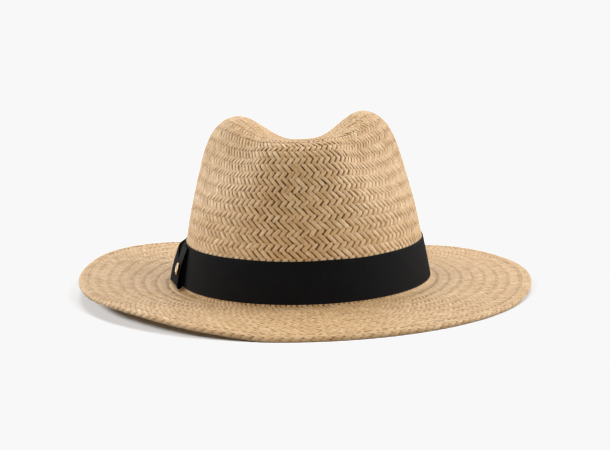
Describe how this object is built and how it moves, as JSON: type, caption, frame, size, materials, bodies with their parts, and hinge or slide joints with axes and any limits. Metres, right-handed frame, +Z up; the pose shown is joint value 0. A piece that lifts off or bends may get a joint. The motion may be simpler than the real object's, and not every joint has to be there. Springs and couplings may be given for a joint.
{
  "type": "straw fedora sun hat",
  "caption": "Woven straw fedora with a creased and pinched crown, wired brim, black ribbon band with a folded side bow and metal stud, and an inner sweatband.",
  "frame": {"origin": "middle of the hat on the surface that it stands on, straight below the middle of the crown", "axes": "+Z up, -Y towards the front of the hat, +X towards the wearer's left; the bow is on the -X side, the wearer's right"},
  "size_m": [0.3108, 0.3448, 0.122],
  "materials": {
    "woven_straw": "natural tan paper straw in an open diagonal weave, matt with a slight sheen",
    "black_ribbon": "black ribbed ribbon",
    "black_thread": "matt",
    "tan_thread": "matt",
    "sweatband_cotton": "plain woven cotton",
    "label_cloth": "plain woven label, blank",
    "gold_metal": "brushed pale gold",
    "spring_steel": "drawn wire"
  },
  "bodies": {
    "hat": {"straw_body": "woven_straw", "brim_wire": "spring_steel", "wire_joiner": "spring_steel", "hem_thread": "tan_thread", "hat_band": "black_ribbon", "band_tack_1": "black_thread", "band_tack_2": "black_thread", "band_tack_3": "black_thread", "band_tack_4": "black_thread", "bow_tail": "black_ribbon", "bow_loop": "black_ribbon", "bow_knot": "black_ribbon", "stud": "gold_metal", "stud_washer": "gold_metal", "sweatband": "sweatband_cotton", "sweatband_thread": "tan_thread", "sweatband_seam_tape": "sweatband_cotton", "size_label": "label_cloth", "size_label_stitch_1": "tan_thread", "size_label_stitch_2": "tan_thread", "care_label_stitch": "tan_thread"},
    "label": {"care_label": "label_cloth"}
  },
  "joints": [
    {"name": "care_label_hinge", "type": "hinge", "parent": "hat", "child": "label", "pos_m": [-0.0343, 0.0848, 0.0366], "axis": [-0.857, -0.5153, 0], "range_deg": [-8, 120]}
  ]
}
